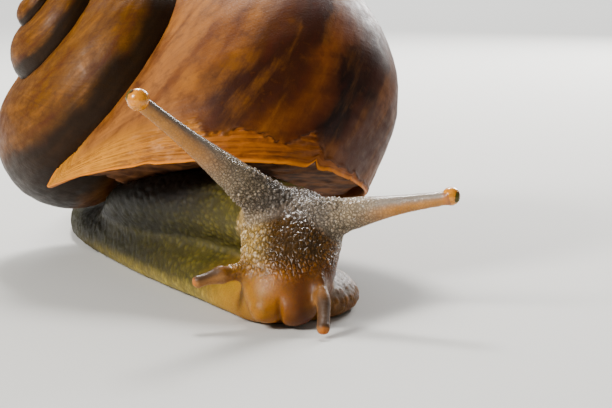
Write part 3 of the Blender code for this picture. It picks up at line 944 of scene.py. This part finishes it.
# %% Finish of the eyes
# how the dark spot leans off the tentacle's line, as a share of the bulb's radius
SPOT_LEAN = {"eye_right": Vector((0, 0, 0.3)), "eye_left": Vector((-0.1, -0.55, 0.2))}
SPOT_CORE, SPOT_EDGE = 0.14, 0.30  # mm from its middle
for eye, (piece, centre, along) in eye_pieces.items():
    finish = Nodes(eye + "_bulb")
    facing = finish.add("ShaderNodeVectorMath", operation="DISTANCE")
    finish.link(finish.place(), facing.inputs[0])
    spot = TO_METRES @ (centre + (along * 0.9 + SPOT_LEAN[eye]).normalized() * BULB[eye])
    facing.inputs[1].default_value = spot
    dark = finish.remap(facing.outputs["Value"], SPOT_CORE * MM, SPOT_EDGE * MM, 1.0, 0.0)
    haze = finish.noise(finish.place(), 0.3)
    amber = finish.blend(finish.remap(haze, 0.3, 0.7), tone(224, 140, 4), tone(196, 122, 8))
    finish.set(Base_Color=finish.blend(dark, amber, tone(56, 28, 10)), Roughness=0.25, IOR=1.4)
    finish.set(Subsurface_Weight=0.3, Subsurface_Scale=0.2 * MM, Coat_Weight=0.5, Coat_Roughness=0.1)
    finish.shader.inputs["Subsurface Radius"].default_value = (1.0, 0.85, 0.6)
    piece.data.materials.append(finish.material)

# %% [markdown]
# ## Finish of the shell
# The bands run along the spiral, so they are drawn on the map of the spiral: one direction of it counts
# turns from the apex to the lip, the other goes round the tube. Near the lip the dark bands break up into
# oval patches. Streaks of growth cross the bands, and just behind the lip, where the outer layers are torn
# away, the shell is paler and more orange, with lines that run along the lip.

# %% Map of the shell
horn = Nodes("horny_shell")
# dark patches: turns behind the lip, half length in turns, angle and half width in degrees, strength
PATCHES = (
    (0.078, 0.055, 27, 16, 0.7),
    (0.065, 0.030, 24, 9, 0.6),
    (0.118, 0.035, 15, 9, 0.7),
    (0.055, 0.032, -9, 14, 0.95),
    (0.095, 0.026, -20, 10, 0.75),
    (0.036, 0.036, -40, 18, 0.55),
)
DARK_BANDS = ((20, 9, 0.8), (-16, 11, 0.85), (-48, 12, 0.6), (-80, 12, 0.4))  # angle, half width, strength
spiral_place = horn.add("ShaderNodeUVMap", uv_map="spiral").outputs["UV"]
parts = horn.add("ShaderNodeSeparateXYZ")
horn.link(spiral_place, parts.inputs["Vector"])
turns, side_share = parts.outputs["X"], parts.outputs["Y"]
place = horn.place()


def stretched(scale_turns, scale_side):
    node = horn.add("ShaderNodeMapping")
    horn.link(spiral_place, node.inputs["Vector"])
    node.inputs["Scale"].default_value = (scale_turns, scale_side, 1.0)
    return node.outputs["Vector"]


def streaks(scale_turns, scale_side, detail=4.0):
    node = horn.add("ShaderNodeTexNoise")
    horn.link(stretched(scale_turns, scale_side), node.inputs["Vector"])
    node.inputs["Scale"].default_value = 1.0
    node.inputs["Detail"].default_value = detail
    return node.outputs["Fac"]


def wavering(value, size, detail, reach):
    """A place on the map of the spiral that wanders a little to both sides."""
    off = horn.minus(horn.noise(place, size, detail), 0.5)
    return horn.math("ADD", value, horn.times(off, reach))


def side_of(degrees):
    """An angle of the section as a place on the map of the spiral, 0 to 1."""
    return (degrees + 180) / 360


side_at = wavering(side_share, 5.0, 3.0, 0.10)
turns_at = wavering(turns, 3.0, 4.0, 0.06)

# %% Bands, patches and layers
def band(middle_degrees, half_degrees, soft_degrees):
    """1 inside a band of colour round the given angle of the section, 0 outside."""
    off = horn.math("ABSOLUTE", horn.minus(side_at, side_of(middle_degrees)))
    return horn.remap(off, (half_degrees - soft_degrees) / 360, (half_degrees + soft_degrees) / 360, 1.0, 0.0)


def patch_of(behind, half_turns, middle_degrees, half_degrees):
    """1 inside an oval patch on the map of the spiral, fading to 0 outside it."""
    along = horn.math("DIVIDE", horn.minus(turns_at, WHORLS - behind), half_turns)
    aside = horn.minus(side_at, side_of(middle_degrees))
    over = horn.math("DIVIDE", aside, half_degrees / 360)
    far = horn.math("ADD", horn.times(along, along), horn.times(over, over))
    return horn.remap(far, 0.0, 1.9, 1.0, 0.0)


def layer(share, shade, strength=1.0):
    """Lays a colour over those below, by a share that may be a pattern."""
    global colour
    colour = horn.blend(horn.times(share, strength), colour, shade)

# %% Colours of the shell, one over the other
blotches = horn.noise(place, 4.5, 3.0, 0.5, 0.4)
mottle = horn.noise(place, 0.9, 5.0, 0.6)
GOLDEN, CHESTNUT, DEEP, OLD = tone(140, 84, 24), tone(92, 46, 15), tone(32, 12, 11), tone(88, 56, 5)
along_bands = horn.noise(stretched(16, 34), 1 / MM, 5.0, 0.6)
colour = horn.blend(horn.remap(blotches, 0.35, 0.65), GOLDEN, mix(GOLDEN, CHESTNUT, 0.5))
layer(band(70, 14, 14), tone(160, 106, 62), 0.5)
layer(band(-14, 46, 16), CHESTNUT, 0.8)
broken = horn.remap(blotches, 0.3, 0.5, 0.4, 1.0)
farther_back = horn.times(broken, horn.remap(turns, WHORLS - 0.16, WHORLS - 0.10, 1.0, 0.0))
for middle_degrees, half_degrees, strength in DARK_BANDS:
    layer(horn.times(band(middle_degrees, half_degrees, 8), farther_back), DEEP, strength)
layer(patch_of(0.05, 0.035, 24, 22), mix(CHESTNUT, GOLDEN, 0.3), 0.7)
for behind, half_turns, middle_degrees, half_degrees, strength in PATCHES:
    layer(patch_of(behind, half_turns, middle_degrees, half_degrees), DEEP, strength)
layer(patch_of(0.055, 0.026, -9, 11), tone(14, 7, 7), 0.85)
layer(patch_of(0.088, 0.055, 2, 8), tone(118, 62, 24), 0.6)
layer(horn.remap(turns, WHORLS - 0.85, WHORLS - 0.5, 1.0, 0.0), OLD, 0.75)
layer(horn.remap(along_bands, 0.46, 0.7), tone(72, 30, 14), 0.6)
layer(horn.remap(along_bands, 0.5, 0.3), tone(176, 108, 36), 0.25)
layer(horn.remap(mottle, 0.45, 0.75), tone(54, 24, 12), 0.45)
layer(horn.remap(mottle, 0.45, 0.25), tone(160, 98, 38), 0.12)
layer(horn.remap(streaks(150, 5, 5.0), 0.45, 0.75), tone(50, 22, 10), 0.3)
# painted shade: the lower side of the older whorls is painted near black
layer(horn.times(horn.remap(turns, WHORLS - 0.7, WHORLS - 0.5, 1.0, 0.0), band(-12, 32, 8)),
      tone(26, 18, 4), 0.9)
torn = horn.colour("torn")
lines = horn.remap(streaks(420, 9, 6.0), 0.4, 0.62)
lines = horn.times(lines, horn.remap(mottle, 0.3, 0.6, 0.2, 1.0))
layer(torn, horn.blend(band(84, 44, 26), tone(160, 90, 26), tone(208, 136, 34)), 0.9)
layer(horn.times(torn, lines), tone(78, 36, 10), 0.6)
# painted shadow: a dark line along the torn edge of the shell's skin, under its raised rim
edge_shadow = horn.times(torn, horn.remap(torn, 0.2, 1.0, 1.0, 0.0))
edge_shadow = horn.times(edge_shadow, horn.remap(horn.noise(place, 0.6, 3.0), 0.35, 0.6, 0.2, 1.0))
layer(horn.times(edge_shadow, band(-44, 82, 10)), tone(20, 8, 4), 2.0)
layer(horn.remap(turns, WHORLS - 0.0035, WHORLS - 0.0012), tone(226, 130, 18), 0.85)
layer(horn.colour("inside"), tone(140, 80, 36))
fine = streaks(320, 9, 5.0)
horn.set(Base_Color=colour, Roughness=horn.remap(mottle, 0.3, 0.7, 0.4, 0.58), IOR=1.25)
horn.set(Normal=horn.bump(horn.noise(place, 0.16, 4.0), 0.015, horn.bump(fine, 0.012)))

# %% Shares kept in the shell's mesh
spiral_places = np.zeros(len(shell.data.vertices) * 3)
shell.data.attributes["spiral_place"].data.foreach_get("vector", spiral_places)
inside_share = spiral_places.reshape(-1, 3)[:, 1]
give_shares(shell.data, inside_share, "inside")
torn_share = np.zeros(len(shell.data.vertices))
shell.data.attributes["torn_share"].data.foreach_get("value", torn_share)
give_shares(shell.data, torn_share, "torn")
shell.data.materials.append(horn.material)
print("nodes in the shell's finish:", len(horn.tree.nodes))

# %% [markdown]
# ## The mantle
# The body fills the mouth of the shell with its mantle, a soft collar that builds the shell's edge.

# %% The mantle
MANTLE_GROWTH = 0.25  # mm, so that it meets the shell's wall
MANTLE_VOXEL = 0.35
MOUTH_DEPTH = (-2.6, -1.4)  # mm behind the plane of the mouth, where its folds begin
mantle_mesh = bpy.data.meshes.new("mantle_core")
bm = flesh_copy("mantle")
for vert in bm.verts:
    vert.co += vert.normal * MANTLE_GROWTH
bm.to_mesh(mantle_mesh)
bm.free()
mantle_mesh = with_modifiers(
    mantle_mesh,
    ("REMESH", {"mode": "VOXEL", "voxel_size": MANTLE_VOXEL, "adaptivity": 0.0}),
    ("SMOOTH", {"factor": 0.5, "iterations": 6}))
collar = Surface(mantle_mesh)
depth = (collar.points - np.array(LIP_FRONT)) @ np.array(APERTURE_NORMAL)
mouth_side = ramp(depth, *MOUTH_DEPTH)
folds = cloud(collar.points, 1.6, 3.0) * 0.25 + cloud(collar.points, 0.5, 5.0) * 0.06
collar.points += collar.normals() * (folds * mouth_side)[:, None]
collar.write()
bm = bmesh.new()
bm.from_mesh(mantle_mesh)
mantle = finish_piece("snail_mantle", bm)
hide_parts("mantle")
dusk = Nodes("dark_mantle")
cloudy = dusk.noise(dusk.place(), 1.2, 4.0)
dusk.set(Base_Color=dusk.blend(dusk.remap(cloudy, 0.3, 0.7), tone(70, 42, 22), tone(140, 88, 48)))
dusk.set(Roughness=0.8, IOR=1.35)
mantle.data.materials.append(dusk.material)
print("mantle triangles:", count_triangles(mantle))

# %% [markdown]
# ## Floor and light
# A plain pale floor and soft lamps, as in a studio. One stands behind the snail, just high enough to clear
# the shell, and lays glints on its wet crown and tentacles; the key is at its right, a rim lamp behind it
# at its left, and a wide one lights the floor far behind.

# %% Floor and light
FLOOR_SIZE = 1.5
bm = bmesh.new()
bmesh.ops.create_grid(bm, x_segments=1, y_segments=1, size=FLOOR_SIZE)
floor_mesh = bpy.data.meshes.new("floor")
bm.to_mesh(floor_mesh)
bm.free()
floor = bpy.data.objects.new("floor", floor_mesh)
bpy.context.scene.collection.objects.link(floor)
paper = Nodes("pale_paper")
paper.set(Base_Color=(0.6, 0.6, 0.58, 1.0), Roughness=0.8)
floor.data.materials.append(paper.material)

world = bpy.data.worlds.new("studio")
bpy.context.scene.world = world
world.use_nodes = True
sky = world.node_tree.nodes["Background"]
sky.inputs["Color"].default_value = (1.0, 0.97, 0.92, 1)
sky.inputs["Strength"].default_value = 0.25

AIM, FAR_AIM = (-0.001, -0.02, 0.008), (0.24, 0.62, 0.0)
LAMPS = {  # place and aim in metres, width, watts, colour
    "sheen": ((0.06, 0.19, 0.25), AIM, 0.06, 1.3, (1.0, 0.97, 0.93)),
    "key": ((-0.26, -0.06, 0.18), AIM, 0.09, 1.5, (1.0, 0.97, 0.92)),
    "rim": ((0.23, 0.20, 0.12), AIM, 0.10, 1.1, (1.0, 0.98, 0.96)),
    "backdrop": ((0.26, 0.50, 0.40), FAR_AIM, 0.5, 6.0, (1.0, 1.0, 1.0)),
}
for name, (stand, aim, width, watts, light) in LAMPS.items():
    lamp = bpy.data.objects.new(name, bpy.data.lights.new(name, "AREA"))
    lamp.data.energy = watts
    lamp.data.size = width
    lamp.data.color = light
    lamp.location = stand
    lamp.rotation_mode = "QUATERNION"
    lamp.rotation_quaternion = (Vector(aim) - Vector(stand)).to_track_quat("-Z", "Y")
    bpy.context.scene.collection.objects.link(lamp)
print("lamps:", ", ".join(LAMPS))
